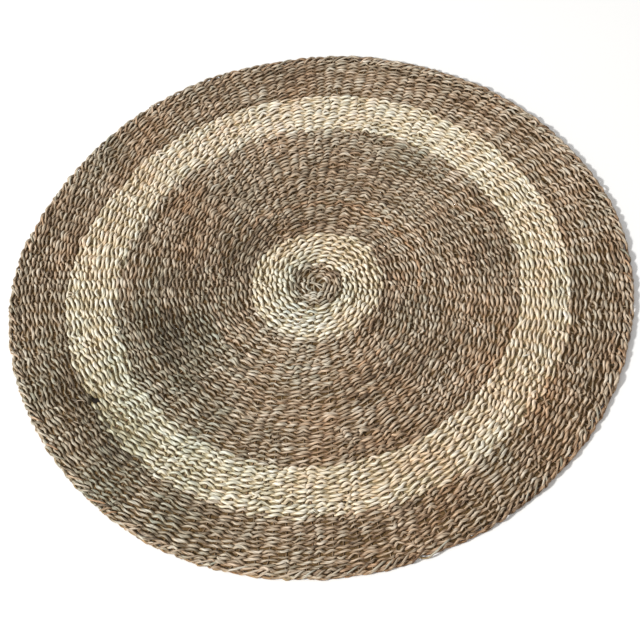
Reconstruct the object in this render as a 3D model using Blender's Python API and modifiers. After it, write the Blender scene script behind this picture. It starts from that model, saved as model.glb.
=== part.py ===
"""A round, hand-twined seagrass rug, lying flat.

The rug is one cloth. Cords of twisted seagrass are twined row by row, in a spiral, round spokes that fan out
from the middle, and the spokes' ends are turned back into the last rows, which rounds the edge. The underside
is flat on z = 0, the middle is at the origin, and +Y points away from the person who looks at the rug.
"""

import math
from typing import NamedTuple

import bpy

# Driving dimensions, in metres
MEAN_RADIUS = 0.599
BROWN_THICKNESS = 0.0115  # the brown cord's turns over and under a spoke
CREAM_THICKNESS = 0.0125  # the cream cord is stouter
EDGE_THICKNESS = 0.0125  # the rim, where the spokes' ends are tucked back
EDGE_ROUNDING = 0.009  # how far in from the rim the edge's round section reaches
STEP_WIDTH = 0.006  # over which the surface climbs from the brown rows to the cream ones
SWELL = 0.0007  # how far the worked surface rises and falls

# How finely the surface is divided
BEARINGS = 96
RING_SPACING = 0.040
EDGE_STEPS = 7

# The two cords as they look on the finished rug: linear colour and roughness
BROWN_GRASS = (0.25, 0.18, 0.12, 1.0)
CREAM_GRASS = (0.52, 0.43, 0.30, 1.0)
GRASS_ROUGHNESS = 0.7


class Zone(NamedTuple):
    """A run of rows worked in one colour of cord, from the zone before it out to a share of the radius."""

    outer_share: float
    thickness: float
    cord: str


ZONES = (
    Zone(0.077, BROWN_THICKNESS, "brown"),
    Zone(0.206, CREAM_THICKNESS, "cream"),
    Zone(0.648, BROWN_THICKNESS, "brown"),
    Zone(0.806, CREAM_THICKNESS, "cream"),
    Zone(1.000, BROWN_THICKNESS, "brown"),
)


class Bulge(NamedTuple):
    """How far the hand-worked edge stands out or in at a bearing, anticlockwise from +X."""

    bearing_deg: float
    out_mm: float


BULGES = (
    Bulge(0, 4.5),
    Bulge(30, -3.0),
    Bulge(58, -6.5),
    Bulge(75, -3.5),
    Bulge(90, -5.0),
    Bulge(108, 0.5),
    Bulge(145, -3.0),
    Bulge(165, 6.0),
    Bulge(205, -3.0),
    Bulge(242, 5.0),
    Bulge(272, 4.0),
    Bulge(305, 1.0),
    Bulge(330, 0.5),
)


def eased(share):
    """Turns an even climb from 0 to 1 into one that starts and ends softly."""
    return share * share * (3 - 2 * share)


def bulge_at(bearing_deg):
    """The edge's bulge in metres at any bearing, eased from one row of the table to the next."""
    turned = bearing_deg % 360
    before = max((row for row in BULGES if row.bearing_deg <= turned), key=lambda row: row.bearing_deg)
    after = BULGES[(BULGES.index(before) + 1) % len(BULGES)]
    span = (after.bearing_deg - before.bearing_deg) % 360
    climb = eased((turned - before.bearing_deg) / span)
    return (before.out_mm + (after.out_mm - before.out_mm) * climb) / 1000


def swell_at(x, y):
    """The slow rise and fall of the worked surface, in metres: two long waves that cross."""
    along = math.sin(2 * math.pi * (x + 0.4 * y) / 0.46 + 0.8)
    across = math.sin(2 * math.pi * (y - 0.3 * x) / 0.37 + 2.1)
    return SWELL * (along + across) / 2


def top_rings():
    """Radius and height of the rings of the upper face, from the middle to where the edge starts to round."""
    last = MEAN_RADIUS - EDGE_ROUNDING
    rings = [(0.0, ZONES[0].thickness)]
    inner = 0.0
    for number, zone in enumerate(ZONES):
        is_border = number == len(ZONES) - 1
        outer = last - STEP_WIDTH if is_border else zone.outer_share * MEAN_RADIUS - STEP_WIDTH / 2
        spaces = max(1, round((outer - inner) / RING_SPACING))
        rings += [(inner + (outer - inner) * n / spaces, zone.thickness) for n in range(1, spaces + 1)]
        if not is_border:
            inner = outer + STEP_WIDTH
            rings.append((inner, ZONES[number + 1].thickness))
    return rings


def edge_rings():
    """Radius and height of the rounded edge, from the top of its ridge to the floor."""
    half = EDGE_THICKNESS / 2
    centre = MEAN_RADIUS - EDGE_ROUNDING
    turns = [math.pi * (0.5 - step / EDGE_STEPS) for step in range(EDGE_STEPS + 1)]
    return [(centre + EDGE_ROUNDING * math.cos(turn), half + half * math.sin(turn)) for turn in turns]


def turned_disc(name):
    """The rug as a true round: its section, from the middle over the top and round the edge, is turned."""
    section = top_rings() + edge_rings()
    section[-1] = (section[-1][0], 0.0)
    section.append((0.0, 0.0))
    profile = bpy.data.meshes.new(name)
    edges = [(n, n + 1) for n in range(len(section) - 1)]
    profile.from_pydata([(radius, 0.0, height) for radius, height in section], edges, [])
    disc = bpy.data.objects.new(name, profile)
    turn = disc.modifiers.new("turn", "SCREW")
    turn.axis = "Z"
    turn.steps = BEARINGS
    turn.render_steps = BEARINGS
    turn.use_merge_vertices = True
    turn.merge_threshold = 0.0001
    return disc


def worked_by_hand(disc):
    """Makes the turned disc a mesh and gives it the uneven outline and surface of hand work."""
    graph = bpy.context.evaluated_depsgraph_get()
    mesh = bpy.data.meshes.new_from_object(disc.evaluated_get(graph))
    disc.modifiers.clear()
    disc.data = mesh
    for vertex in mesh.vertices:
        x, y, z = vertex.co
        radius = math.hypot(x, y)
        bearing = math.atan2(y, x)
        share = radius / MEAN_RADIUS
        spread = radius + bulge_at(math.degrees(bearing)) * share**2
        lift = swell_at(x, y) * z / BROWN_THICKNESS
        vertex.co = (spread * math.cos(bearing), spread * math.sin(bearing), z + lift)


def grass(name, colour):
    """A matt, dry grass cord's finish."""
    material = bpy.data.materials.new(name)
    material.use_nodes = True
    shader = material.node_tree.nodes["Principled BSDF"]
    shader.inputs["Base Color"].default_value = colour
    shader.inputs["Roughness"].default_value = GRASS_ROUGHNESS
    shader.inputs["Metallic"].default_value = 0.0
    return material


def colour_zones(rug):
    """Gives each zone's faces the finish of its cord, above and below, as both faces are alike."""
    rug.data.materials.append(grass("brown_seagrass", BROWN_GRASS))
    rug.data.materials.append(grass("cream_seagrass", CREAM_GRASS))
    for face in rug.data.polygons:
        share = math.hypot(face.center.x, face.center.y) / MEAN_RADIUS
        zone = next((zone for zone in ZONES if share < zone.outer_share), ZONES[-1])
        face.material_index = 1 if zone.cord == "cream" else 0


def main():
    for old in list(bpy.data.objects):
        bpy.data.objects.remove(old)
    parts = bpy.data.collections.new("round_seagrass_rug")
    bpy.context.scene.collection.children.link(parts)
    rug = turned_disc("woven_rug")
    parts.objects.link(rug)
    bpy.context.view_layer.update()
    worked_by_hand(rug)
    colour_zones(rug)
    rug.data.shade_smooth()
    rug.data.set_sharp_from_angle(angle=math.radians(40))


main()
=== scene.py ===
"""The looks of a round seagrass rug, twined by hand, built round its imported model.

The maker works two cords at once. At each spoke one cord passes over and the other under, and between two
spokes they change places, so every row is a twisted pair that spirals out from the middle. This script lays
both cords of every row, the spokes inside them, the crossed spokes at the middle, the spoke ends turned back
at the rim, and the stray ends and fibres that stand out of the work.
"""

import logging
import math
from dataclasses import dataclass, field
from enum import Enum

import bpy
import numpy as np
from mathutils import Matrix, Vector
from mathutils.bvhtree import BVHTree


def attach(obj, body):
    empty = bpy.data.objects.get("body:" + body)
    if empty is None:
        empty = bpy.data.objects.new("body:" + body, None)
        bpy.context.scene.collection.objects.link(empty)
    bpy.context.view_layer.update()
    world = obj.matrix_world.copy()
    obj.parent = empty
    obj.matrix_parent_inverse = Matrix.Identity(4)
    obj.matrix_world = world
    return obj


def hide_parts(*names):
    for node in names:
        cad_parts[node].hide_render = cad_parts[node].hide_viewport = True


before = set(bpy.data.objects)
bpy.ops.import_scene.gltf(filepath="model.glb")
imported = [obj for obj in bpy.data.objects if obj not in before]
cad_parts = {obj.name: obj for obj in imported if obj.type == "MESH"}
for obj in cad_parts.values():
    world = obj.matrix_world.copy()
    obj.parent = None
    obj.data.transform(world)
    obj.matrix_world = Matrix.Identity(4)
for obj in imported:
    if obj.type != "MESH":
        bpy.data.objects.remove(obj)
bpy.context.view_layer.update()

log = logging.getLogger("seagrass_rug")

MM = 0.001
FULL_TURN = 2 * math.pi
BODY = "root"
RUG_NODE = "woven_rug"
REST_GAP = 0.15 * MM  # the grass stays this far above the floor
BAKE_MAP = "OFBake"  # the UV map laid out for baking the finishes into


class Grass(Enum):
    """The two cords that the rug is worked from, by their material slot."""

    BROWN = "brown_seagrass"
    CREAM = "cream_seagrass"


Socket = bpy.types.NodeSocket
WHITE = (1.0, 1.0, 1.0, 1.0)
BLACK = (0.0, 0.0, 0.0, 1.0)


def linear(hex_colour: str) -> tuple[float, float, float, float]:
    """Turns an sRGB hex colour into linear values.

    Args:
        hex_colour: Six hex digits, such as "8A7A62".

    Returns:
        Red, green, blue and an alpha of 1.
    """
    channels = [int(hex_colour[start : start + 2], 16) / 255 for start in (0, 2, 4)]
    bent = [c / 12.92 if c <= 0.04045 else ((c + 0.055) / 1.055) ** 2.4 for c in channels]
    return bent[0], bent[1], bent[2], 1.0


class Shading:
    """A new material, with short ways of adding nodes to it."""

    def __init__(self, name: str, roughness: float, ior: float) -> None:
        """Makes the material.

        Args:
            name: The material's name.
            roughness: How matt its surface is, from 0 to 1.
            ior: Its index of refraction.
        """
        self.material = bpy.data.materials.new(name)
        self.material.use_nodes = True
        self.tree = self.material.node_tree
        self.shader = self.tree.nodes["Principled BSDF"]
        self.shader.inputs["Roughness"].default_value = roughness
        self.shader.inputs["IOR"].default_value = ior

    def add(self, kind: str, inputs: dict | None = None, **settings: str | bool) -> bpy.types.Node:
        """Adds a node, sets it, and links or fills its inputs.

        Args:
            kind: The node's type name, without the ShaderNode before it.
            inputs: By input name or number, either the socket to link from or the value to hold.
            **settings: The node's own properties.

        Returns:
            The new node.
        """
        made = self.tree.nodes.new("ShaderNode" + kind)
        for name, value in settings.items():
            setattr(made, name, value)
        for key, value in (inputs or {}).items():
            if isinstance(value, Socket):
                self.tree.links.new(value, made.inputs[key])
            else:
                made.inputs[key].default_value = value
        return made

    def read(self, attribute: str) -> Socket:
        """Reads a value that the mesh holds at each point."""
        return self.add("Attribute", attribute_name=attribute).outputs["Fac"]

    def place(self) -> Socket:
        """The object's own coordinates, in metres."""
        return self.add("TexCoord").outputs["Object"]

    def math(self, operation: str, *values: Socket | float) -> Socket:
        """Works out a number from up to three others."""
        return self.add("Math", dict(enumerate(values)), operation=operation).outputs[0]

    def product(self, first: Socket, second: Socket | tuple) -> Socket:
        """Multiplies two vectors or colours, part by part."""
        return self.add("VectorMath", {0: first, 1: second}, operation="MULTIPLY").outputs[0]

    def measure(self, operation: str, *vectors: Socket | tuple) -> Socket:
        """Works out a number from one or two vectors, such as how far apart they are."""
        return self.add("VectorMath", dict(enumerate(vectors)), operation=operation).outputs["Value"]

    def remap(self, value: Socket, start: float, end: float, low: float = 0.0, high: float = 1.0) -> Socket:
        """Stretches the values from start to end over those from low to high."""
        limits = {"From Min": start, "From Max": end, "To Min": low, "To Max": high}
        return self.add("MapRange", {"Value": value, **limits}).outputs[0]

    def mix(self, amount: Socket, first: Socket | tuple, second: Socket | tuple, blend: str) -> Socket:
        """Mixes the second colour into the first."""
        inputs = {0: amount, 6: first, 7: second}
        return self.add("Mix", inputs, data_type="RGBA", blend_type=blend).outputs[2]

    def noise(self, place: Socket, scale: float, detail: float = 2.0, roughness: float = 0.5) -> Socket:
        """A cloudy pattern, from 0 to 1."""
        inputs = {"Vector": place, "Scale": scale, "Detail": detail, "Roughness": roughness}
        return self.add("TexNoise", inputs).outputs["Fac"]

    def ramp(self, factor: Socket, stops: list[tuple[float, tuple]], interpolation: str = "LINEAR") -> Socket:
        """Turns a factor into a colour.

        Args:
            factor: From 0 to 1.
            stops: Place and linear colour of each stop, in order.
            interpolation: How the colour changes from one stop to the next.

        Returns:
            The colour.
        """
        made = self.add("ValToRGB", {"Fac": factor})
        made.color_ramp.interpolation = interpolation
        elements = made.color_ramp.elements
        while len(elements) < len(stops):
            elements.new(1.0)
        for element, (place, colour) in zip(elements, stops):
            element.position = place
            element.color = colour
        return made.outputs["Color"]

    def bump(self, height: Socket, distance: float, under: Socket | None = None) -> Socket:
        """The normal of a surface raised by a height, on top of another bump if there is one."""
        inputs = {"Height": height, "Distance": distance} | ({"Normal": under} if under else {})
        return self.add("Bump", inputs).outputs["Normal"]

    def finished(self, colour: Socket, normal: Socket | None = None) -> bpy.types.Material:
        """Gives the shader its colour, and its normal if there is one.

        Args:
            colour: The surface's colour.
            normal: The surface's bumps.

        Returns:
            The material.
        """
        self.tree.links.new(colour, self.shader.inputs["Base Color"])
        if normal:
            self.tree.links.new(normal, self.shader.inputs["Normal"])
        return self.material


@dataclass(frozen=True)
class SeagrassFinish:
    """Dried seagrass, twisted into a two-ply cord.

    The blades are flat and waxy, so a lit blade is pale and slightly glossy; painted shade darkens the
    grooves of the twist and the grass low in the work, and each blade has its own colour, from straw to grey,
    green or rust.
    """

    name: str
    colours: tuple[str, ...]  # from the darkest blades to the palest
    warm_cast: str  # multiplied in where the tint is above 0
    cool_cast: str  # and where it is below 0
    shade: str  # the colour of the painted shade that is multiplied in deep in the work and on the flanks
    stops: tuple[float, ...] = (0.02, 0.28, 0.50, 0.74, 1.0)  # the tone at which each colour lies
    roughness: float = 0.62
    ior: float = 1.45
    twist_length: float = 42 * MM  # one full turn of the cord's twist
    plies: int = 2
    groove_depth: float = 0.9 * MM
    groove_edge: float = 0.6  # how far up a ply the painted shade of its groove reaches
    groove_shade: float = 0.62  # what the painted shade in the groove leaves of the colour
    fibre_depth: float = 0.25 * MM
    streak_length: float = 16 * MM  # how long a blade's pale or dark streak runs
    streaks_round: float = 9.0  # streaks side by side round the cord
    streak_contrast: float = 1.6
    streak_roughness: float = 0.6
    deep_level: float = 0.36  # the share of the work's height below which the painted shade is full
    open_level: float = 0.95  # and above which no painted shade is left

    def material(self) -> bpy.types.Material:
        """Builds the finish.

        Returns:
            The material, which reads the maps "grain", "tone", "tint" and "depth".
        """
        nodes = Shading(self.name, self.roughness, self.ior)
        tone, tint, depth = (nodes.read(key) for key in ("tone", "tint", "depth"))
        grain = nodes.add("UVMap", uv_map="grain").outputs["UV"]
        blades = self.blades(nodes, grain)
        groove = self.groove(nodes, grain)
        streaked = nodes.math("MULTIPLY_ADD", blades, self.streak_contrast, tone)
        centred = nodes.math("SUBTRACT", streaked, self.streak_contrast / 2)
        straw = nodes.ramp(centred, list(zip(self.stops, map(linear, self.colours))))
        warm = self.tinted(nodes, straw, tint, self.warm_cast, 1.0)
        cooled = self.tinted(nodes, warm, tint, self.cool_cast, -1.0)
        shaded = self.shaded(nodes, cooled, depth, groove)
        grooved = nodes.bump(groove, self.groove_depth)
        return nodes.finished(shaded, nodes.bump(blades, self.fibre_depth, grooved))

    def blades(self, nodes: Shading, grain: Socket) -> Socket:
        """The streaks of single blades, which run along the twist.

        Args:
            nodes: The material.
            grain: Metres along the cord, and the share of the way round it.

        Returns:
            A value from 0 to 1.
        """
        parts = nodes.add("SeparateXYZ", {"Vector": grain}).outputs
        turned = nodes.math("MULTIPLY_ADD", parts["X"], 1 / self.twist_length, parts["Y"])
        around = nodes.math("MULTIPLY", turned, self.streaks_round)
        along = nodes.math("MULTIPLY", parts["X"], 1 / self.streak_length)
        place = nodes.add("CombineXYZ", {"X": along, "Y": around}).outputs[0]
        return nodes.noise(place, 1.0, roughness=self.streak_roughness)

    def groove(self, nodes: Shading, grain: Socket) -> Socket:
        """The round of each ply, with the groove of the twist between two.

        Args:
            nodes: The material.
            grain: Metres along the cord, and the share of the way round it.

        Returns:
            A value from 0 in the groove to 1 on a ply.
        """
        turn = FULL_TURN * self.plies
        phase = nodes.measure("DOT_PRODUCT", grain, (turn / self.twist_length, turn, 0.0))
        return nodes.math("MULTIPLY_ADD", nodes.math("SINE", phase), 0.5, 0.5)

    def tinted(self, nodes: Shading, colour: Socket, tint: Socket, cast: str, side: float) -> Socket:
        """Lets the colour take a cast where the tint leans to one side, which is 1 or -1."""
        amount = nodes.add("Math", {0: tint, 1: side}, operation="MULTIPLY", use_clamp=True).outputs[0]
        return nodes.mix(amount, colour, linear(cast), "MULTIPLY")

    def shaded(self, nodes: Shading, colour: Socket, depth: Socket, groove: Socket) -> Socket:
        """Paints shade on the grass low in the work and on the cords' flanks, and in the grooves of the
        twist.

        Args:
            nodes: The material.
            colour: The colour so far.
            depth: From 0 at the floor to 1 at the top of the work.
            groove: From 0 in a groove to 1 on a ply.

        Returns:
            The finished colour.
        """
        # Painted shade low in the work and on the flanks, where less light reaches
        open_to_light = nodes.remap(depth, self.deep_level, self.open_level)
        dimmed = nodes.product(colour, nodes.mix(open_to_light, linear(self.shade), WHITE, "MIX"))
        # Painted shade in the grooves of the twist
        wear_and_painted_shade = nodes.remap(groove, 0.0, self.groove_edge, self.groove_shade)
        return nodes.add("VectorMath", {0: dimmed, "Scale": wear_and_painted_shade}, operation="SCALE").outputs[0]


BROWN_FINISH = SeagrassFinish(
    name="brown_dried_seagrass",
    colours=("5C4B38", "8F7C66", "B9A68D", "D3C4AD", "E7DBC9"),
    warm_cast="F8DCC4",
    cool_cast="D0DEDE",
    shade="C8AE88",
)

CREAM_FINISH = SeagrassFinish(
    name="cream_dried_seagrass",
    colours=("AE9B7A", "DACBAC", "F3E7CE", "F9EFDA", "FCF5E6"),
    warm_cast="F8E4D6",
    cool_cast="DEE8E9",
    shade="E0D2B6",
)


@dataclass(frozen=True)
class MattingFinish:
    """The crushed grass deep in the work: matt, and darker than the cords with painted shade."""

    radius: float  # of the rug
    name: str = "crushed_seagrass_matting"
    hole_shadow_colour: str = "1E140A"  # the painted shadow down a hole where a stitch is missing
    hole_shadow_edge: float = 1.6  # in half widths of the hole, where the painted shadow ends
    brown: tuple[str, str] = ("4A361C", "765C36")  # painted shade: darker in a crease of the grain, and lighter on a crumb
    cream: tuple[str, str] = ("7C6C4C", "A89872")
    crumb: float = 3 * MM  # the grain of the crushed grass
    crease: float = 0.35  # the parts of the grain that are all crease, and all crumb
    crest: float = 0.7
    roughness: float = 0.9
    ior: float = 1.4

    def material(self) -> bpy.types.Material:
        """Builds the finish.

        Returns:
            The material.
        """
        nodes = Shading(self.name, self.roughness, self.ior)
        place = nodes.place()
        crumbs = nodes.noise(place, 1 / self.crumb, detail=3.0)
        brown, cream = (
            nodes.ramp(crumbs, [(self.crease, linear(crease_shade)), (self.crest, linear(crumb_shade))])
            for crease_shade, crumb_shade in (self.brown, self.cream)
        )
        flat = nodes.product(place, (1.0, 1.0, 0.0))
        share = nodes.math("MULTIPLY", nodes.measure("LENGTH", flat), 1 / self.radius)
        starts = [0.0] + [zone.outer_share for zone in ZONES[:-1]]
        marks = [WHITE if zone.grass is Grass.CREAM else BLACK for zone in ZONES]
        is_cream = nodes.ramp(share, list(zip(starts, marks)), "CONSTANT")
        colour = nodes.mix(is_cream, brown, cream, "MIX")
        # Painted shadow down each hole where stitches are missing
        for hole in HOLES:
            off = nodes.measure("DISTANCE", flat, (*hole.middle(self.radius), 0.0))
            beside = nodes.remap(off, hole.half_width, self.hole_shadow_edge * hole.half_width)
            colour = nodes.mix(beside, linear(self.hole_shadow_colour), colour, "MIX")
        return nodes.finished(colour, nodes.bump(crumbs, self.crumb / 3))


@dataclass(frozen=True)
class FloorFinish:
    """A smooth painted studio floor, matt and nearly white, a little paler where it is scuffed."""

    name: str = "matt_white_studio_paint"
    colour: str = "F4F3F1"
    scuffed: str = "F7F6F4"
    scuffs: float = 1.5  # to a metre
    roughness: float = 0.85
    ior: float = 1.5

    def material(self) -> bpy.types.Material:
        """Builds the finish.

        Returns:
            The material.
        """
        nodes = Shading(self.name, self.roughness, self.ior)
        drift = nodes.noise(nodes.place(), self.scuffs)
        return nodes.finished(nodes.ramp(drift, [(0.0, linear(self.colour)), (1.0, linear(self.scuffed))]))


@dataclass
class Waves:
    """A smooth, seeded rise and fall over the rug's plan: a few plane waves that cross."""

    seed: int
    shortest: float
    longest: float
    count: int = 14

    def __post_init__(self) -> None:
        """Draws the waves."""
        rng = np.random.default_rng(self.seed)
        lengths = np.exp(rng.uniform(math.log(self.shortest), math.log(self.longest), self.count))
        headings = rng.uniform(0, FULL_TURN, self.count)
        self.wave_x = FULL_TURN * np.cos(headings) / lengths
        self.wave_y = FULL_TURN * np.sin(headings) / lengths
        self.starts = rng.uniform(0, FULL_TURN, self.count)

    def at(self, x: np.ndarray, y: np.ndarray) -> np.ndarray:
        """The height at each point.

        Args:
            x: Metres to the right.
            y: Metres away from the viewer.

        Returns:
            Values spread round 0, mostly between -1.5 and 1.5.
        """
        total = np.zeros_like(x)
        for wave_x, wave_y, start in zip(self.wave_x, self.wave_y, self.starts):
            total += np.sin(wave_x * x + wave_y * y + start)
        return total * math.sqrt(2 / self.count)


@dataclass
class CadForm:
    """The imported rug, read from its node: how far its edge reaches and how high its top lies."""

    node: str = RUG_NODE
    bearings: int = 96
    inside: float = 2.5 * MM  # the top is read at least this far in from the edge

    def __post_init__(self) -> None:
        """Reads the node's mesh."""
        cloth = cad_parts[self.node].data
        points = np.array([vertex.co for vertex in cloth.vertices])
        radii = np.hypot(points[:, 0], points[:, 1])
        turned = np.arctan2(points[:, 1], points[:, 0]) / FULL_TURN * self.bearings
        self.reach = np.zeros(self.bearings)
        np.maximum.at(self.reach, np.round(turned).astype(int) % self.bearings, radii)
        self.mean_radius = float(self.reach.mean())
        self.height = float(points[:, 2].max())
        faces = [tuple(face.vertices) for face in cloth.polygons]
        self.surface = BVHTree.FromPolygons([Vector(point) for point in points], faces)

    def edge_radius(self, bearing: np.ndarray) -> np.ndarray:
        """How far the edge reaches from the middle at each bearing, in radians anticlockwise from +X."""
        marks = np.arange(self.bearings) * FULL_TURN / self.bearings
        return np.interp(bearing % FULL_TURN, marks, self.reach, period=FULL_TURN)

    def top(self, x: np.ndarray, y: np.ndarray) -> np.ndarray:
        """How high the top lies over each point.

        Args:
            x: Metres to the right.
            y: Metres away from the viewer.

        Returns:
            Metres above the floor.
        """
        radius = np.hypot(x, y)
        limit = self.edge_radius(np.arctan2(y, x)) - self.inside
        shrink = np.minimum(1.0, limit / np.maximum(radius, 1e-9))
        down = Vector((0, 0, -1))
        heights = np.empty(len(x))
        for number, (px, py) in enumerate(zip(x * shrink, y * shrink)):
            hit = self.surface.ray_cast(Vector((px, py, 1.0)), down)[0]
            heights[number] = hit.z if hit else self.height
        return heights


@dataclass(frozen=True)
class Zone:
    """A run of rows in one colour of cord, from the zone before it out to a share of the radius."""

    name: str
    outer_share: float
    rows: float
    grass: Grass
    pieces: int
    overlap: float  # the turns that the second cord goes on after the first has changed colour


ZONES = (
    Zone("eye", 0.077, 4.20, Grass.BROWN, 1, 0.75),
    Zone("ring", 0.206, 7.60, Grass.CREAM, 1, 0.55),
    Zone("field", 0.648, 32.60, Grass.BROWN, 3, 0.50),
    Zone("band", 0.806, 10.30, Grass.CREAM, 2, 0.45),
    Zone("border", 0.9925, 13.30, Grass.BROWN, 2, 0.0),
)


@dataclass(frozen=True)
class Hole:
    """A place where stitches are missing and the cords beside them have slipped down."""

    bearing_deg: float
    share: float  # of the rug's radius
    half_width: float

    def middle(self, radius: float) -> tuple[float, float]:
        """The x and y of its middle on a rug of this radius."""
        bearing = math.radians(self.bearing_deg)
        return self.share * radius * math.cos(bearing), self.share * radius * math.sin(bearing)


HOLES = (Hole(201.8, 0.791, 9 * MM), Hole(268.6, 0.775, 5 * MM))


@dataclass(frozen=True)
class CordSize:
    """A worked cord: its half thickness, and how it leaves the row's middle line."""

    radius: float
    swing: float  # how far the two cords swing apart between two spokes
    arch: float  # how far each stitch arches outward over its spoke


CORD_SIZES = {
    Grass.BROWN: CordSize(2.47 * MM, 1.8 * MM, 0.1 * MM),
    Grass.CREAM: CordSize(2.85 * MM, 2.0 * MM, 0.1 * MM),
}


@dataclass
class Spoke:
    """A radial cord that the rows are worked round, by the rows that cross it."""

    turns: list[float] = field(default_factory=list)


@dataclass
class RugPlan:
    """Where every row and every spoke lies: one spiral, and the spokes that it crosses."""

    form: CadForm
    seed: int = 7
    hub_share: float = 0.025  # the spiral starts this far out
    start_bearing: float = math.radians(290)
    first_spokes: int = 8
    tight_stitch: float = 14.8 * MM  # how long a stitch is at the middle
    stitch_growth: float = 7 * MM  # and how much longer at the rim
    choice: float = 0.15  # how freely the gap for a new spoke is chosen, in mean gaps
    evening: float = 0.20  # how far each row evens the spokes out
    unevenness: float = 0.13  # of a stitch's length
    slack: float = 0.08  # of a stitch's length, by which one crossing lies early or late
    drift: float = 1.4 * MM  # slow wandering of the rows
    ripple: float = 0.4 * MM  # short waves that neighbouring rows share
    first_drift: float = 1.6 * MM  # and the sharper wandering of the first rows
    first_reach: float = 45 * MM
    stiff_rim: float = 0.08  # of the radius, over which the wandering fades out toward the rim
    laid_in: float = 0.035  # of a turn, over which the last row's end sinks under the row before it

    def __post_init__(self) -> None:
        """Lays the spiral and its crossings."""
        self.radius = self.form.mean_radius
        self.turn_marks = np.cumsum([0.0] + [zone.rows for zone in ZONES])
        shares = [self.hub_share] + [zone.outer_share for zone in ZONES]
        self.radius_marks = np.array(shares) * self.radius
        self.wander = Waves(seed=self.seed + 1, shortest=0.07, longest=0.26)
        self.ripples = Waves(seed=self.seed + 3, shortest=0.022, longest=0.05, count=18)
        self.first_wander = Waves(seed=self.seed + 2, shortest=0.03, longest=0.07)
        self.spokes: list[Spoke] = []
        self.crossing_turns = self.cross()

    def row_radius(self, turn: np.ndarray | float) -> np.ndarray:
        """How far out the spiral is after some turns, on an even rug."""
        return np.interp(turn, self.turn_marks, self.radius_marks)

    def stitch_length(self, radius: float) -> float:
        """How long a stitch is at a radius: shorter near the middle, where the spokes crowd."""
        return self.tight_stitch + self.stitch_growth * math.sqrt(radius / self.radius)

    def cross(self) -> np.ndarray:
        """Works out where the spiral crosses each spoke, adding spokes as the rows grow.

        Returns:
            The turns at which the crossings lie, in working order.
        """
        rng = np.random.default_rng(self.seed)
        places = list(np.arange(self.first_spokes) / self.first_spokes)
        self.spokes = [Spoke() for _ in places]
        order = list(self.spokes)
        turns: list[float] = []
        last_turn = self.turn_marks[-1]
        for row in range(math.ceil(last_turn)):
            radius = float(self.row_radius(row + 0.5))
            wanted = FULL_TURN * radius / self.stitch_length(radius)
            while len(places) < wanted - 0.5:
                gaps = np.diff(places + [places[0] + 1])
                widest = int(np.argmax(gaps + rng.uniform(0, self.choice, len(gaps)) * gaps.mean()))
                places.insert(widest + 1, places[widest] + gaps[widest] / 2)
                order.insert(widest + 1, Spoke())
                self.spokes.append(order[widest + 1])
            here = np.array(places)
            looped = np.concatenate([[here[-1] - 1], here, [here[0] + 1]])
            middles = (looped[:-2] + looped[2:]) / 2
            here += self.evening * (middles - here)
            here += rng.normal(0, self.unevenness / len(here), len(here))
            places = list(here)
            for spoke, place in zip(order, places):
                if 0 <= row + place <= last_turn:
                    turns.append(row + place + rng.normal(0, self.slack / len(places)))
                    spoke.turns.append(row + place)
        return np.sort(np.clip(turns, 0, last_turn))

    def to_rim(self, turn: np.ndarray) -> np.ndarray:
        """How far the outer rows are pushed outward, so that the outermost one follows the rim all round.

        Args:
            turn: Turns since the spiral's start.

        Returns:
            Metres outward.
        """
        last = self.turn_marks[-1]
        rim = self.row_radius(last)
        pitch = rim - self.row_radius(last - 1)
        behind = last - turn
        part = behind % 1.0
        lead = np.clip(part / self.laid_in, 0, 1)
        short = np.where(lead < 1, 1 - (1 - self.laid_in) * lead * lead * (3 - 2 * lead), part)
        inner = self.radius_marks[-2]
        weight = np.clip((self.row_radius(turn) - inner) / (rim - pitch * short - inner), 0, 1)
        over = np.where(behind < self.laid_in, short - part, 0)
        return pitch * (short * weight - over)

    def sunk(self, turn: np.ndarray) -> np.ndarray:
        """How far the end of the last row is sunk under the row before it, from 0 to 1."""
        return 1 - np.clip((self.turn_marks[-1] - turn) / self.laid_in, 0, 1)

    def missing(self, x: np.ndarray, y: np.ndarray) -> np.ndarray:
        """How far the cords have slipped down where stitches are missing.

        Args:
            x: Metres to the right.
            y: Metres away from the viewer.

        Returns:
            From 0, not at all, to 1.
        """
        total = np.zeros_like(x)
        for hole in HOLES:
            middle_x, middle_y = hole.middle(self.radius)
            off = ((x - middle_x) ** 2 + (y - middle_y) ** 2) / hole.half_width**2
            total += np.exp(-(off**2))
        return np.minimum(total, 1)

    def place(self, turn: np.ndarray, aside: np.ndarray | float) -> tuple[np.ndarray, np.ndarray]:
        """Where a point of the work lies on the uneven rug.

        Args:
            turn: Turns since the spiral's start.
            aside: Metres outward from the row's middle line.

        Returns:
            The point's x and y in metres.
        """
        bearing = self.start_bearing + FULL_TURN * np.asarray(turn)
        radius = self.row_radius(turn) + self.to_rim(np.asarray(turn)) + aside
        share = radius / self.radius
        still = np.clip((1 - share) / self.stiff_rim, 0, 1)
        x, y = radius * np.cos(bearing), radius * np.sin(bearing)
        early = self.first_drift * np.exp(-((radius / self.first_reach) ** 2)) * self.first_wander.at(x, y)
        slow = self.drift * self.wander.at(x, y) + self.ripple * self.ripples.at(x, y)
        radius = radius + slow * still + early
        radius = radius + (self.form.edge_radius(bearing) - self.radius) * share**2
        return radius * np.cos(bearing), radius * np.sin(bearing)


@dataclass(frozen=True)
class Patch:
    """A place where the grass is paler or darker than round it, or has another cast."""

    bearing_deg: float
    share: float  # of the rug's radius
    along_mm: float  # half its size along the rows
    across_mm: float
    tone: float  # above 0 is paler
    tint: float  # above 0 is warmer, below 0 greyer


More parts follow.
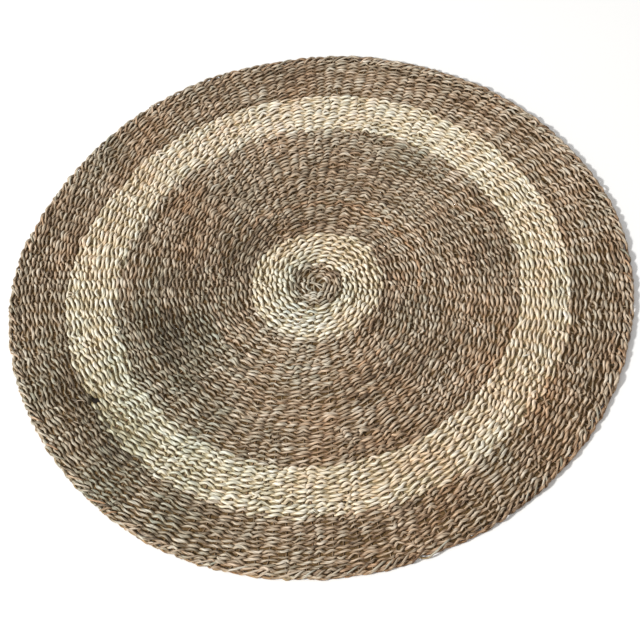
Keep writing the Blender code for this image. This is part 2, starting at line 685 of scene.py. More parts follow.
PATCHES = (
    # The middle and the ring
    Patch(230, 0.03, 60, 28, 0.36, -0.1),
    Patch(250, 0.028, 14, 16, 0.40, -0.2),
    Patch(10, 0.06, 22, 14, -0.20, 0.2),
    Patch(238, 0.14, 60, 35, 0.42, -0.15),
    # The field
    Patch(135, 0.27, 110, 60, -0.15, 0.1),
    Patch(183, 0.40, 100, 70, -0.14, -0.1),
    Patch(262, 0.27, 110, 60, 0.16, 0.1),
    Patch(15, 0.37, 100, 60, 0.08, 0.0),
    Patch(0, 0.58, 80, 45, -0.12, 0.0),
    Patch(32, 0.61, 70, 50, 0.12, 0.0),
    Patch(110, 0.61, 130, 50, 0.05, 0.0),
    Patch(193, 0.52, 100, 40, -0.20, -0.1),
    Patch(222, 0.62, 90, 30, 0.09, 0.0),
    Patch(335, 0.47, 90, 70, 0.10, 0.0),
    Patch(315, 0.61, 120, 40, 0.08, 0.0),
    # The band
    Patch(90, 0.69, 260, 60, 0.22, 0.0),
    Patch(210, 0.77, 110, 40, -0.22, 0.0),
    # The cords painted dark at the first hole, as shade down into it
    Patch(201.8, 0.791, 9, 9, -0.9, 0.0),
    # The border
    Patch(22, 0.89, 260, 60, 0.16, 0.0),
    Patch(75, 0.87, 130, 50, 0.06, 0.1),
    Patch(115, 0.92, 200, 50, 0.12, 0.0),
    Patch(205, 0.84, 150, 45, -0.20, 0.0),
    Patch(315, 0.91, 300, 50, 0.09, 0.0),
    # Painted shade along the rim at the front right, away from the key light
    Patch(298, 0.99, 60, 9, -0.35, 0.4),
    # Warmer grass to the right of the viewer and at the back, greyer grass to the left
    Patch(300, 0.72, 420, 240, 0.03, 0.40),
    Patch(130, 0.68, 320, 150, 0.03, 0.32),
    Patch(214, 0.82, 260, 150, 0.04, -0.90),
    Patch(198, 0.42, 200, 150, 0.02, -0.60),
)


@dataclass
class Colouring:
    """How the grass's colour changes over the rug."""

    plan: RugPlan
    slow_tone: float = 0.035
    slow_tint: float = 0.16

    def __post_init__(self) -> None:
        """Draws the slow changes."""
        self.tones = Waves(seed=31, shortest=0.05, longest=0.35)
        self.tints = Waves(seed=32, shortest=0.06, longest=0.40)

    def at(self, x: np.ndarray, y: np.ndarray) -> tuple[np.ndarray, np.ndarray]:
        """The tone and tint that a place adds.

        Args:
            x: Metres to the right.
            y: Metres away from the viewer.

        Returns:
            The tone, and the tint, to be added to a cord's own.
        """
        tone = self.slow_tone * self.tones.at(x, y)
        tint = self.slow_tint * self.tints.at(x, y)
        radius = np.hypot(x, y)
        bearing = np.arctan2(y, x)
        for patch in PATCHES:
            middle = patch.share * self.plan.radius
            swing = bearing - math.radians(patch.bearing_deg)
            along = np.arctan2(np.sin(swing), np.cos(swing)) * middle / (patch.along_mm * MM)
            across = (radius - middle) / (patch.across_mm * MM)
            weight = np.exp(-(along**2) - across**2)
            tone = tone + patch.tone * weight
            tint = tint + patch.tint * weight
        return tone, tint


@dataclass
class Cord:
    """A cord as stations along its line."""

    line: np.ndarray
    radius: np.ndarray
    tone: np.ndarray
    tint: np.ndarray
    top: np.ndarray  # how high the work lies at each station

    @classmethod
    def plain(cls, line: np.ndarray, radius: float, tone: float, tint: float, top: float) -> "Cord":
        """A cord of one colour; a value may still be given for each station."""
        return cls(line, *(np.full(len(line), value) for value in (radius, tone, tint, top)))

    def part(self, first: int, last: int) -> "Cord":
        """The stretch from one station to another, both included."""
        kept = slice(first, last + 1)
        return Cord(self.line[kept], self.radius[kept], self.tone[kept], self.tint[kept], self.top[kept])

    def lengths(self) -> np.ndarray:
        """Metres from the cord's start to each station."""
        steps = np.linalg.norm(np.diff(self.line, axis=0), axis=1)
        return np.concatenate([[0.0], np.cumsum(steps)])


def joined(*arrays: np.ndarray) -> np.ndarray:
    """The values of several arrays in one row."""
    return np.concatenate([array.ravel() for array in arrays])


@dataclass
class CordMesh:
    """Makes many cords into one mesh of closed tubes, with the maps that their finish reads."""

    sides: int = 6
    width: float = 1.04  # the cord is pressed a little flat
    height: float = 0.90
    flank_shade: float = 0.08  # how much deeper than its crown a cord's side counts, which the finish paints as shade
    tip: float = 0.7  # how far a cord's closed end stands out, in half thicknesses
    gutter: float = 0.06  # of a strip's height in the bake's map

    def angles(self) -> np.ndarray:
        """The angle of each point of the section, one of them at the crown if the sides allow."""
        return (np.arange(self.sides) + 0.5) * FULL_TURN / self.sides

    def rings(self, cord: Cord) -> tuple[np.ndarray, np.ndarray]:
        """The points round each station, and the two end points.

        Args:
            cord: The cord.

        Returns:
            Rings of points, and the first and last point.
        """
        ahead = np.gradient(cord.line, axis=0)
        ahead /= np.linalg.norm(ahead, axis=1, keepdims=True)
        side = np.cross(ahead, (0.0, 0.0, 1.0))
        side /= np.maximum(np.linalg.norm(side, axis=1, keepdims=True), 1e-6)
        upward = np.cross(side, ahead)
        angles = self.angles()
        across = np.cos(angles)[None, :, None] * side[:, None, :] * self.width
        rise = np.sin(angles)[None, :, None] * upward[:, None, :] * self.height
        rings = cord.line[:, None, :] + cord.radius[:, None, None] * (across + rise)
        first = cord.line[0] - self.tip * cord.radius[0] * ahead[0]
        last = cord.line[-1] + self.tip * cord.radius[-1] * ahead[-1]
        tips = np.array([first, last])
        rings[..., 2] = np.maximum(rings[..., 2], REST_GAP)
        tips[:, 2] = np.maximum(tips[:, 2], REST_GAP)
        return rings, tips

    def build(self, name: str, cords: list[Cord]) -> bpy.types.Object:
        """Makes the piece.

        Args:
            name: The piece's name.
            cords: Its cords.

        Returns:
            The piece, a mesh at the origin.
        """
        strips = Strips(cords, self.gutter)
        gathered: dict[str, list[np.ndarray]] = {}
        offset = 0
        for number, cord in enumerate(cords):
            rings, tips = self.rings(cord)
            last = len(rings) - 1
            ring = np.arange(self.sides)
            station, side = (grid.ravel() for grid in np.meshgrid(np.arange(last), ring, indexing="ij"))
            walls = np.stack([station, station + 1, station + 1, station], axis=1)
            wall_sides = np.stack([side, side, side + 1, side + 1], axis=1)
            after = (ring + 1) % self.sides
            tip = np.full(self.sides, len(rings) * self.sides)
            start = np.stack([tip, ring, after], axis=1)
            end = np.stack([tip + 1, last * self.sides + after, last * self.sides + ring], axis=1)

            lengths = cord.lengths()
            none = np.zeros(self.sides)
            before = np.stack([none - cord.radius[0], none, none], axis=1)
            beyond = np.stack([none + cord.radius[-1], none, none], axis=1) + lengths[-1]
            start_sides = np.stack([ring + 0.5, ring, ring + 1], axis=1)
            end_sides = np.stack([ring + 0.5, ring + 1, ring], axis=1)
            along = joined(lengths[walls], before, beyond)
            around = joined(wall_sides, start_sides, end_sides) / self.sides
            anchor = joined(np.repeat(lengths[station], 4), np.repeat([0.0, lengths[-2]], 3 * self.sides))

            # The flanks count deeper than the crown, so the finish paints shade on them
            sheltered = 1 - self.flank_shade * (1 - np.sin(self.angles()))
            depth = rings[..., 2] / cord.top[:, None] * sheltered
            parts = {
                "points": np.concatenate([rings.reshape(-1, 3), tips]),
                "corners": joined(walls * self.sides + wall_sides % self.sides, start, end) + offset,
                "sizes": np.repeat([4, 3], [len(walls), 2 * self.sides]),
                "grain": np.stack([along, around], axis=1),
                BAKE_MAP: strips.lay(number, along, around, anchor),
                "tone": joined(np.repeat(cord.tone, self.sides), cord.tone[[0, -1]]),
                "tint": joined(np.repeat(cord.tint, self.sides), cord.tint[[0, -1]]),
                "depth": joined(depth, tips[:, 2] / cord.top[[0, -1]]),
            }
            for key, values in parts.items():
                gathered.setdefault(key, []).append(values)
            offset += len(rings) * self.sides + 2
        return self.write(name, {key: np.concatenate(values) for key, values in gathered.items()})

    def write(self, name: str, values: dict[str, np.ndarray]) -> bpy.types.Object:
        """Writes the gathered tubes into a mesh object.

        Args:
            name: The piece's name.
            values: The points, each face's point numbers and size, and every map and attribute.

        Returns:
            The piece.
        """
        mesh = bpy.data.meshes.new(name)
        mesh.vertices.add(len(values["points"]))
        mesh.vertices.foreach_set("co", values["points"].astype(np.float32).ravel())
        mesh.loops.add(len(values["corners"]))
        mesh.loops.foreach_set("vertex_index", values["corners"].astype(np.int32))
        starts = np.concatenate([[0], np.cumsum(values["sizes"])[:-1]])
        mesh.polygons.add(len(starts))
        mesh.polygons.foreach_set("loop_start", starts.astype(np.int32))
        mesh.update(calc_edges=True)
        for key in ("grain", BAKE_MAP):
            layer = mesh.uv_layers.new(name=key)
            layer.data.foreach_set("uv", values[key].astype(np.float32).ravel())
        for key in ("tone", "tint", "depth"):
            attribute = mesh.attributes.new(key, "FLOAT", "POINT")
            attribute.data.foreach_set("value", values[key].astype(np.float32))
        mesh.shade_smooth()
        piece = bpy.data.objects.new(name, mesh)
        bpy.context.scene.collection.objects.link(piece)
        return piece


class Strips:
    """Lays the cords' skins side by side in the unit square, in strips, for the baked map."""

    def __init__(self, cords: list[Cord], gutter: float) -> None:
        """Shares the square out.

        Args:
            cords: The cords of one piece.
            gutter: The share of a strip's height that is left between two strips.
        """
        self.gutter = gutter
        spans = [cord.lengths()[-1] + 4 * float(cord.radius.max()) for cord in cords]
        girth = FULL_TURN * float(np.mean([cord.radius.mean() for cord in cords]))
        steps = [np.diff(cord.lengths()).max() for cord in cords]
        # A face that starts in one strip may end past it, so each strip has spare room at both ends
        self.spare = 2.5 * max(steps) + 4 * max(float(cord.radius.max()) for cord in cords)
        self.rows = max(1, math.ceil(math.sqrt(sum(spans) / girth)))
        self.strip = sum(spans) / self.rows
        self.starts = np.concatenate([[0.0], np.cumsum(spans)[:-1]]) + 2 * cords[0].radius.max()

    def lay(self, number: int, along: np.ndarray, around: np.ndarray, anchor: np.ndarray) -> np.ndarray:
        """Gives each corner of a cord its place in the square.

        Args:
            number: Which cord.
            along: Metres along the cord, for each corner.
            around: The share of the way round the cord, for each corner.
            anchor: Metres along the cord to the corner's face, which stays in one strip.

        Returns:
            The places, between 0 and 1.
        """
        face_at = self.starts[number] + anchor
        row = np.floor(face_at / self.strip)
        across = (self.starts[number] + along - row * self.strip + self.spare / 2) / (self.strip + self.spare)
        rows = self.rows + 1
        up = (row + self.gutter / 2 + around * (1 - self.gutter)) / rows
        return np.stack([across, up], axis=1)


def even_path(points: list[tuple[float, float, float]], count: int) -> np.ndarray:
    """A smooth line through a few points.

    Args:
        points: The points that it passes through.
        count: How many stations it gets.

    Returns:
        The stations.
    """
    marks = np.array(points, float)
    padded = np.vstack([2 * marks[0] - marks[1], marks, 2 * marks[-1] - marks[-2]])
    place = np.linspace(0, len(marks) - 1 - 1e-9, count)
    whole = place.astype(int)
    part = (place - whole)[:, None]
    p0, p1, p2, p3 = (padded[whole + shift] for shift in range(4))
    return 0.5 * (
        2 * p1
        + (p2 - p0) * part
        + (2 * p0 - 5 * p1 + 4 * p2 - p3) * part**2
        + (3 * p1 - p0 - 3 * p2 + p3) * part**3
    )


@dataclass
class TwinedCords:
    """The two cords of every row in one zone, over and under the spokes in turn."""

    plan: RugPlan
    colouring: Colouring
    steps: int = 6  # stations from one spoke to the next
    over_spoke: float = 1.06  # the cord spreads where it passes a spoke
    between: float = 0.95  # and is pulled thin where the two cords twist
    dive: float = 1.1  # how steeply a cord dives between two spokes
    crossing: float = -0.12  # the height where the cords cross, from -1 at the bottom to 1 at the top
    wear_and_dive_shade: float = 0.20  # how much paler the top of a stitch is than its ends, from wear on the top and painted shade where the cord dives
    mean_wear_and_dive_shade: float = 0.6  # the lift, squared, at which the wear and painted shade leave a stitch's tone as it is
    # How far each stitch strays from the even one, as a deviation
    height_slip: float = 0.8 * MM
    side_slip: float = 1.1 * MM
    bend: float = 0.4 * MM  # how far a cord bows out of line within a stitch
    swing_slip: float = 0.3
    arch_slip: float = 1.2 * MM
    thickness_slip: float = 0.20
    most_slip: float = 1.9  # in deviations
    tuck: float = 0.5  # stitches over which a cord's end is tucked in
    tucked_size: float = 0.55  # of the cord's thickness
    # What becomes of a cord that is laid under another or has slipped down
    sunk_swing: float = 0.4
    sunk_in: float = 4 * MM  # how far inward the last row's end is laid
    sunk_level: float = 2.2 * MM
    sunk_size: float = 0.6
    # Painted shade on the end of the last row, laid under the row before it
    sunk_painted_shade: float = -0.4
    # How much the colour changes from stitch to stitch, and from one length of grass laid in to the next
    stitch_tone: float = 0.10
    length_tone: float = 0.085
    stitch_tint: float = 0.10
    length_tint: float = 0.16
    shortest_length: float = 0.4  # in metres
    longest_length: float = 2.2

    def build(self, zone: Zone, first_turn: float, overlap_before: float) -> list[bpy.types.Object]:
        """Makes the zone's pieces.

        Args:
            zone: The zone.
            first_turn: The turn of the spiral at which it starts.
            overlap_before: The turns after which the second cord changes to this zone's grass too.

        Returns:
            The pieces, from the inside out.
        """
        turns = self.plan.crossing_turns
        rng = np.random.default_rng(int(first_turn * 10))
        parts: list[list[Cord]] = [[] for _ in range(zone.pieces)]
        for other in (0, 1):
            opens = first_turn + other * overlap_before
            closes = first_turn + zone.rows + other * zone.overlap
            inside = np.nonzero((turns >= opens) & (turns <= closes))[0]
            start = max(0, inside[0] - 1)
            cord = self.strand(zone, start, inside[-1], other, rng)
            bounds = np.linspace(0, inside[-1] - start, zone.pieces + 1).round().astype(int) * self.steps
            for number in range(zone.pieces):
                parts[number].append(cord.part(bounds[number], bounds[number + 1]))
        made = []
        for number, cords in enumerate(parts):
            name = f"{zone.name}_cords" if zone.pieces == 1 else f"{zone.name}_cords_{number + 1}"
            made.append(CordMesh().build(name, cords))
        return made

    def strand(self, zone: Zone, start: int, end: int, other: int, rng: np.random.Generator) -> Cord:
        """Lays one of the two cords.

        Args:
            zone: The zone.
            start: The first crossing.
            end: The last crossing.
            other: 0 for the cord that is on top at even crossings, 1 for the other.
            rng: Where its unevenness is drawn.

        Returns:
            The cord.
        """
        size = CORD_SIZES[zone.grass]
        marks = np.arange(start, end + 1)
        stations = np.linspace(start, end, (end - start) * self.steps + 1)
        slip = {}
        for key in ("up", "side", "thick", "swing", "arch"):
            drawn = np.clip(rng.normal(0, 1, len(marks)), -self.most_slip, self.most_slip)
            slip[key] = np.interp(stations, marks, drawn)
        turn = np.interp(stations, np.arange(len(self.plan.crossing_turns)), self.plan.crossing_turns)
        phase = math.pi * (stations + other)
        lift = np.tanh(self.dive * np.cos(phase)) / math.tanh(self.dive)
        swing = size.swing * (1 + self.swing_slip * slip["swing"])
        halves = np.arange(start, end + 0.25, 0.5)
        bow = self.bend * np.interp(stations, halves, rng.normal(0, 1, len(halves)))
        arched = (size.arch + self.arch_slip * slip["arch"]) * np.cos(2 * phase)
        aside = -swing * np.sin(phase) + arched + self.side_slip * slip["side"] + bow
        laid_under = self.plan.sunk(turn)
        aside = aside * (1 - (1 - self.sunk_swing) * laid_under) - self.sunk_in * laid_under
        x, y = self.plan.place(turn, aside)
        top = self.plan.form.top(x, y)
        spread = self.between + (self.over_spoke - self.between) * lift**2
        radius = size.radius * spread * (1 + self.thickness_slip * slip["thick"])
        half = top / 2
        high = half - size.radius * self.over_spoke * CordMesh.height
        level = self.crossing + np.where(lift > 0, 1 - self.crossing, 1 + self.crossing) * lift
        z = half + high * level + self.height_slip * slip["up"]
        ends = np.minimum(stations - start, end - stations)
        tucked = np.clip(ends / self.tuck, 0, 1)
        z = half + (z - half) * tucked
        sunk = np.maximum(laid_under, self.plan.missing(x, y))
        z = z + (self.sunk_level - z) * sunk
        radius = radius * (self.tucked_size + (1 - self.tucked_size) * tucked)
        radius = radius * (1 - (1 - self.sunk_size) * sunk)
        line = np.stack([x, y, z], axis=1)

        stitch = np.round(stations).astype(int) - start
        tones = rng.normal(0, self.stitch_tone, len(marks) + 1)[stitch]
        tints = rng.normal(0, self.stitch_tint, len(marks) + 1)[stitch]
        cord = Cord(line, radius, tones, tints, top)
        hank_tone, hank_tint = self.lengths_laid_in(cord.lengths(), rng)
        place_tone, place_tint = self.colouring.at(x, y)
        # Wear pales the top of each stitch, and painted shade darkens its ends where the cord dives
        wear_and_painted_shade = self.wear_and_dive_shade * (lift**2 - self.mean_wear_and_dive_shade)
        cord.tone = 0.5 + tones + hank_tone + place_tone + wear_and_painted_shade + self.sunk_painted_shade * laid_under
        cord.tint = tints + hank_tint + place_tint
        return cord

    def lengths_laid_in(self, along: np.ndarray, rng: np.random.Generator) -> tuple[np.ndarray, np.ndarray]:
        """Gives each length of cord that was laid in its own tone and tint.

        Args:
            along: Metres along the cord, for each station.
            rng: Where the lengths are drawn.

        Returns:
            The tone and the tint of each station's length.
        """
        count = int(along[-1] / self.shortest_length) + 2
        joints = np.cumsum(rng.uniform(self.shortest_length, self.longest_length, count))
        which = np.searchsorted(joints, along)
        tones = rng.normal(0, self.length_tone, count + 1)
        tints = rng.normal(0, self.length_tint, count + 1)
        return tones[which], tints[which]


@dataclass
class SpokeFan:
    """The radial cords inside the rows, which show only in the gaps."""

    plan: RugPlan
    radius: float = 1.5 * MM
    every: int = 3  # rows from one station to the next
    sides: int = 4
    tone: float = 0.42
    tone_spread: float = 0.08
    tint_spread: float = 0.3

    def build(self) -> bpy.types.Object:
        """Makes the spokes.

        Returns:
            The piece.
        """
        cords = []
        rng = np.random.default_rng(51)
        for spoke in self.plan.spokes:
            turns = np.array(spoke.turns[:: self.every] + spoke.turns[-1:])
            if len(turns) < 3:
                continue
            x, y = self.plan.place(turns, 0.0)
            top = self.plan.form.top(x, y)
            line = np.stack([x, y, top / 2], axis=1)
            if np.linalg.norm(line[-1] - line[-2]) < 1e-4:
                line, top = line[:-1], top[:-1]
            tone = self.tone + rng.normal(0, self.tone_spread)
            cords.append(Cord.plain(line, self.radius, tone, rng.normal(0, self.tint_spread), top))
        return CordMesh(sides=self.sides).build("spokes", cords)


@dataclass
class Hub:
    """The crossed spokes at the middle, where the work was begun."""

    plan: RugPlan
    cords: int = 5
    radius: float = 1.7 * MM
    reach: float = 22 * MM
    stations: int = 17
    first_heading: float = 0.3  # of the angle between two cords
    bow: float = 1.5 * MM
    lowest: float = 4.6 * MM
    step: float = 1.4 * MM  # how much higher each cord lies than the one before, where they cross
    crown: float = 15 * MM  # how far out the cords stay at their own heights
    spread: float = 0.08  # in heading and in tone
    tone: float = 0.80
    tint: float = -0.5
    tint_spread: float = 0.2

    def build(self) -> bpy.types.Object:
        """Makes the crossed spokes.

        Returns:
            The piece.
        """
        rng = np.random.default_rng(61)
        made = []
        middle = float(self.plan.form.top(np.zeros(1), np.zeros(1))[0])
        for number in range(self.cords):
            heading = math.pi * (number + self.first_heading) / self.cords + rng.normal(0, self.spread)
            share = np.linspace(-1, 1, self.stations)
            bow = rng.normal(0, self.bow) * (1 - share**2)
            x = share * self.reach * math.cos(heading) - bow * math.sin(heading)
            y = share * self.reach * math.sin(heading) + bow * math.cos(heading)
            level = self.lowest + number * self.step
            crown = np.exp(-((share * self.reach / self.crown) ** 4))
            z = middle / 2 + (level - middle / 2) * crown
            tone = self.tone + rng.normal(0, self.spread)
            tint = self.tint + rng.normal(0, self.tint_spread)
            made.append(Cord.plain(np.stack([x, y, z], axis=1), self.radius, tone, tint, middle))
        return CordMesh().build("hub_spokes", made)


@dataclass
class TurnedEdge:
    """The spokes' ends, each bent over the rim and tucked back under the last rows."""

    plan: RugPlan
    radius: float = 1.8 * MM
    stitches_run: float = 2.0  # how far along the rim an end runs before it is tucked in
    stations: int = 12
    work_height: float = 12.5 * MM  # of the rim
    slip: float = 0.5  # in mm, inward
    slip_up: float = 0.4  # of the slip
    run_spread: tuple[float, float] = (0.85, 1.15)
    size_spread: tuple[float, float] = (0.8, 1.15)
    widest_gap: float = 1.5  # in usual gaps, as the cords' own ends leave one wide gap
    tone: float = 0.56
    tone_spread: float = 0.15
    tint: float = 0.1
    tint_spread: float = 0.5
    # The end's way, in shares of its run: in from the edge and up from the floor, in mm
    way: tuple[tuple[float, float, float], ...] = (
        (0.00, 16.0, 3.4),
        (0.14, 9.0, 2.4),
        (0.26, 3.6, 2.8),
        (0.36, 1.9, 5.4),
        (0.46, 2.9, 9.0),
        (0.62, 6.6, 11.2),
        (0.80, 11.6, 11.2),
        (0.92, 15.0, 9.2),
        (1.00, 17.0, 6.6),
    )

    def build(self) -> bpy.types.Object:
        """Makes the turned ends.

        Returns:
            The piece.
        """
        rng = np.random.default_rng(71)
        last = self.plan.turn_marks[-1]
        turns = self.plan.crossing_turns
        rim = turns[turns > last - 1]
        gaps = np.diff(np.append(rim, rim[0] + 1))
        gaps = np.minimum(gaps, self.widest_gap * np.median(gaps))
        cords = []
        for turn, gap in zip(rim, gaps):
            bearing = self.plan.start_bearing + FULL_TURN * turn
            run = FULL_TURN * float(gap) * self.stitches_run * rng.uniform(*self.run_spread)
            slip = rng.normal(0, self.slip, 2)
            points = []
            for share, inward, upward in self.way:
                angle = bearing + run * share
                edge = float(self.plan.form.edge_radius(np.array(angle)))
                out = edge - (inward + slip[0]) * MM
                up = (upward + slip[1] * self.slip_up) * MM
                points.append((out * math.cos(angle), out * math.sin(angle), up))
            line = even_path(points, self.stations)
            tone = self.tone + rng.normal(0, self.tone_spread)
            tint = self.tint + rng.normal(0, self.tint_spread)
            radius = self.radius * rng.uniform(*self.size_spread)
            cords.append(Cord.plain(line, radius, tone, tint, self.work_height))
        return CordMesh().build("turned_edge", cords)


@dataclass(frozen=True)
class PlacedEnd:
    """A loose end or loop that stands out at one place of the real rug."""

    bearing_deg: float
    share: float  # of the rug's radius
    grass: Grass
    heading_deg: float  # from the line of the rows
    length_mm: float
    half_thickness_mm: float


PLACED_ENDS = (
    # Cream loops drawn over the brown rows at the left
    PlacedEnd(183.5, 0.660, Grass.CREAM, 60, 13, 1.3),
    PlacedEnd(185.0, 0.640, Grass.CREAM, -50, 12, 1.3),
    PlacedEnd(182.5, 0.615, Grass.CREAM, 40, 10, 1.0),
    PlacedEnd(171.3, 0.812, Grass.CREAM, 70, 14, 1.4),
    PlacedEnd(172.6, 0.816, Grass.CREAM, 110, 12, 1.2),
    # Fine fibres over the border at the right
    PlacedEnd(345.0, 0.806, Grass.CREAM, 75, 22, 0.4),
    PlacedEnd(343.5, 0.815, Grass.CREAM, 130, 18, 0.4),
    PlacedEnd(346.5, 0.825, Grass.CREAM, 100, 24, 0.35),
    # Pale strays in the border at the front
    PlacedEnd(270.1, 0.868, Grass.CREAM, 20, 14, 0.8),
    PlacedEnd(272.5, 0.853, Grass.CREAM, -25, 12, 0.8),
)


@dataclass(frozen=True)
class Strays:
    """A sort of stray: how many there are, and the least and greatest of each size."""

    count: int
    thickness: tuple[float, float]  # half of what it measures through
    length: tuple[float, float]
    lift: tuple[float, float]  # over the work


CORD_ENDS = Strays(50, (0.8 * MM, 1.4 * MM), (8 * MM, 18 * MM), (0.2 * MM, 0.6 * MM))
FIBRES = Strays(300, (0.2 * MM, 0.35 * MM), (8 * MM, 26 * MM), (0.2 * MM, 0.9 * MM))


@dataclass
class LooseEnds:
    """Stray ends of cord and single fibres that stand out of the work, seeded over the rug."""

    plan: RugPlan
    rise: tuple[float, ...] = (-3.2, 0.3, 0.9, 1.0, 0.7)  # from its root, in shares of its lift
    taper: tuple[float, ...] = (0.9, 1.0, 1.0, 0.95, 0.8, 0.35)  # of its thickness
    sweep: float = 0.25  # how far it bends aside, in shares of its length
    tone: float = 0.55
    tone_spread: float = 0.14
    tint_spread: float = 0.4
    last_rise: tuple[float, float] = (-1.5, 1.2)  # the least and greatest at its tip
    turned: float = 0.6  # how far it turns from the rows, in radians
    area: tuple[float, float] = (0.01, 0.97)  # the part of the rug that strays lie on
    clear_rows: float = 1.2  # at the rim
    placed_lift: float = 0.4 * MM

    def lay(
        self,
        rng: np.random.Generator,
        place: tuple[float, float],
        heading: float,
        reach: float,
        thickness: float,
        lift: float,
    ) -> Cord:
        """Lays one end on the work.

        Args:
            rng: Where its bend and colour are drawn.
            place: Where it comes out of the work.
            heading: Radians, from +X.
            reach: How long it is.
            thickness: Half of what it measures through.
            lift: How high over the work it stands.

        Returns:
            Its line.
        """
        share = np.linspace(0, 1, len(self.taper))
        sweep = rng.normal(0, self.sweep) * reach * share**2
        x = place[0] + reach * share * math.cos(heading) - sweep * math.sin(heading)
        y = place[1] + reach * share * math.sin(heading) + sweep * math.cos(heading)
        top = self.plan.form.top(x, y)
        rise = lift * np.array([*self.rise, rng.uniform(*self.last_rise)])
        radius = thickness * np.array(self.taper)
        line = np.stack([x, y, top + rise + radius], axis=1)
        tone = self.tone + rng.normal(0, self.tone_spread)
        return Cord.plain(line, radius, tone, rng.normal(0, self.tint_spread), top)

    def stray(self, rng: np.random.Generator, sort: Strays) -> tuple[Grass, Cord]:
        """Lays one stray somewhere on the rug.

        Args:
            rng: Where it is drawn.
            sort: What sort of stray it is.

        Returns:
            Its grass and its line.
        """
        turn_marks = self.plan.turn_marks
        share = math.sqrt(rng.uniform(*self.area))
        turn = float(np.interp(share * self.plan.radius, self.plan.radius_marks, turn_marks))
        turn = math.floor(turn) + rng.uniform(0, 1)
        turn = min(max(turn, 1.0), turn_marks[-1] - self.clear_rows)
        x, y = (float(value) for value in self.plan.place(np.array(turn), 0.0))
        row = math.atan2(y, x) + math.pi / 2
        heading = row + rng.normal(0, self.turned) + (math.pi if rng.uniform() < 0.5 else 0)
        length, thickness, lift = (rng.uniform(*sizes) for sizes in (sort.length, sort.thickness, sort.lift))
        cord = self.lay(rng, (x, y), heading, length, thickness, lift)
        return ZONES[int(np.searchsorted(turn_marks[1:-1], turn, side="right"))].grass, cord

    def placed(self, rng: np.random.Generator, end: PlacedEnd) -> Cord:
        """Lays one of the ends whose place is known.

        Args:
            rng: Where its bend and colour are drawn.
            end: The end.

        Returns:
            Its line.
        """
        bearing = math.radians(end.bearing_deg)
        reach = end.share * self.plan.radius
        place = (reach * math.cos(bearing), reach * math.sin(bearing))
        heading = bearing + math.pi / 2 + math.radians(end.heading_deg)
        return self.lay(rng, place, heading, end.length_mm * MM, end.half_thickness_mm * MM, self.placed_lift)

    def build(self) -> dict[Grass, bpy.types.Object]:
        """Makes the stray ends, a piece for each grass.

        Returns:
            The pieces.
        """
        rng = np.random.default_rng(81)
        lots: dict[Grass, list[Cord]] = {Grass.BROWN: [], Grass.CREAM: []}
        for sort in (CORD_ENDS, FIBRES):
            for _ in range(sort.count):
                grass, cord = self.stray(rng, sort)
                lots[grass].append(cord)
        for end in PLACED_ENDS:
            lots[end.grass].append(self.placed(rng, end))
        names = {Grass.BROWN: "brown_stray_ends", Grass.CREAM: "cream_stray_ends"}
        return {grass: CordMesh(sides=4).build(names[grass], cords) for grass, cords in lots.items()}


@dataclass
class Matting:
    """The crushed grass between the upper and lower turns of the cords, a thin sheet inside the work."""

    form: CadForm
    thickness: float = 1.6 * MM
    level: float = 3.6 * MM
    inset: float = 9 * MM
    rings: int = 10

    def build(self) -> bpy.types.Object:
        """Makes the sheet: a disc, inset ring by ring, brought to the rug's outline and thickened.

        Returns:
            The piece.
        """
        bpy.ops.object.select_all(action="DESELECT")
        radius = self.form.mean_radius
        bpy.ops.mesh.primitive_circle_add(
            vertices=self.form.bearings, radius=radius, fill_type="NGON", location=(0, 0, self.level)
        )
        piece = bpy.context.object
        piece.name = "matting"
        piece.data.name = "matting"
        bpy.ops.object.transform_apply(location=True, rotation=True, scale=True)
        bpy.ops.object.mode_set(mode="EDIT")
        bpy.ops.mesh.select_all(action="SELECT")
        for _ in range(self.rings - 1):
            bpy.ops.mesh.inset(thickness=radius / self.rings)
        bpy.ops.mesh.poke()
        bpy.ops.object.mode_set(mode="OBJECT")
        for vertex in piece.data.vertices:
            share = math.hypot(vertex.co.x, vertex.co.y) / radius
            bearing = math.atan2(vertex.co.y, vertex.co.x)
            edge = float(self.form.edge_radius(np.array(bearing))) - self.inset
            vertex.co.x = edge * share * math.cos(bearing)
            vertex.co.y = edge * share * math.sin(bearing)
        wall = piece.modifiers.new("thickness", "SOLIDIFY")
        wall.thickness = self.thickness
        wall.offset = 1.0
        bpy.ops.object.modifier_apply(modifier=wall.name)
        piece.data.shade_smooth()
        piece.data.materials.append(MattingFinish(radius).material())
        return piece


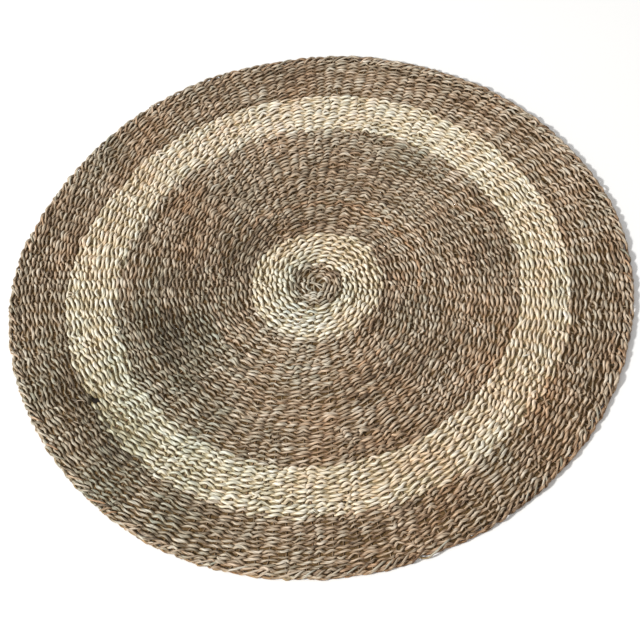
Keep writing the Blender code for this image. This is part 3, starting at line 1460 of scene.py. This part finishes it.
@dataclass
class Studio:
    """A pale floor, soft light from the left, and the camera at the photograph's angle."""

    radius: float = 0.6
    elevation: float = math.radians(56.93)
    roll: tuple[float, float] = (0.9866, -0.1632)  # cosine and sine
    lens: float = 77.11
    sensor: float = 36.0
    # Where the rug's middle lies as the camera sees it, in radii: aside, above, ahead
    middle_seen: tuple[float, float, float] = (-0.0115, 0.1076, 4.418)
    floor_side: float = 14.0
    key_azimuth: float = math.radians(197)
    key_elevation: float = math.radians(37)
    key_distance: float = 9.0
    key_size: float = 1.2
    key_power: float = 870.0
    sky: float = 0.57

    def camera(self) -> None:
        """Places the camera."""
        out = math.sin(self.elevation)
        away = math.cos(self.elevation)
        up = Vector((0, out, away))
        ahead = Vector((0, away, -out))
        right = Vector((1, 0, 0))
        cosine, sine = self.roll
        seen_right = cosine * right + sine * up
        seen_up = -sine * right + cosine * up
        aside, above, depth = self.middle_seen
        place = -self.radius * (aside * seen_right + above * seen_up + depth * ahead)
        camera = bpy.data.objects.new("camera", bpy.data.cameras.new("camera"))
        bpy.context.scene.collection.objects.link(camera)
        camera.data.lens = self.lens
        camera.data.sensor_width = self.sensor
        turned = Matrix((seen_right, seen_up, -ahead)).transposed().to_4x4()
        camera.matrix_world = Matrix.Translation(place) @ turned
        bpy.context.scene.camera = camera

    def floor(self) -> bpy.types.Object:
        """Lays the floor.

        Returns:
            The floor.
        """
        bpy.ops.object.select_all(action="DESELECT")
        bpy.ops.mesh.primitive_plane_add(size=self.floor_side)
        floor = bpy.context.object
        floor.name = "studio_floor"
        floor.data.materials.append(FloorFinish().material())
        return floor

    def lights(self) -> None:
        """Hangs the key light and sets the even light all round."""
        data = bpy.data.lights.new("key", "AREA")
        data.shape = "DISK"
        data.size = self.key_size
        data.energy = self.key_power
        key = bpy.data.objects.new("key", data)
        bpy.context.scene.collection.objects.link(key)
        flat = math.cos(self.key_elevation)
        across, away = flat * math.cos(self.key_azimuth), flat * math.sin(self.key_azimuth)
        heading = Vector((across, away, math.sin(self.key_elevation)))
        key.location = heading * self.key_distance
        key.rotation_euler = heading.to_track_quat("Z", "Y").to_euler()
        world = bpy.data.worlds.new("studio")
        world.use_nodes = True
        background = world.node_tree.nodes["Background"]
        background.inputs["Color"].default_value = WHITE
        background.inputs["Strength"].default_value = self.sky
        bpy.context.scene.world = world
        bpy.context.scene.view_settings.view_transform = "Standard"


def dress(piece: bpy.types.Object, grass: Grass, materials: dict[Grass, bpy.types.Material]) -> None:
    """Gives a piece its finish and its place in the frame.

    Args:
        piece: The piece.
        grass: Which cord it is made of.
        materials: The finish of each cord.
    """
    if not piece.data.materials:
        piece.data.materials.append(materials[grass])
    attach(piece, BODY)
    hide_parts(RUG_NODE)
    log.info("%s: %d faces", piece.name, len(piece.data.polygons))


def main() -> None:
    """Builds the rug's pieces and the studio, in order, and reports each piece."""
    logging.basicConfig(level=logging.INFO, format="%(name)s: %(message)s")
    studio = Studio()
    studio.camera()
    form = CadForm()
    plan = RugPlan(form)
    log.info("%d crossings, %d spokes", len(plan.crossing_turns), len(plan.spokes))
    colouring = Colouring(plan)
    materials = {Grass.BROWN: BROWN_FINISH.material(), Grass.CREAM: CREAM_FINISH.material()}

    overlaps = [0.0] + [zone.overlap for zone in ZONES]
    for zone, first_turn, overlap in zip(ZONES, plan.turn_marks, overlaps):
        for piece in TwinedCords(plan, colouring).build(zone, float(first_turn), overlap):
            dress(piece, zone.grass, materials)
    for piece in (SpokeFan(plan).build(), Hub(plan).build(), TurnedEdge(plan).build()):
        dress(piece, Grass.BROWN, materials)
    for grass, piece in LooseEnds(plan).build().items():
        dress(piece, grass, materials)

    matting = Matting(form).build()
    dress(matting, Grass.BROWN, materials)
    studio.floor()
    studio.lights()


if __name__ == "__main__":
    main()
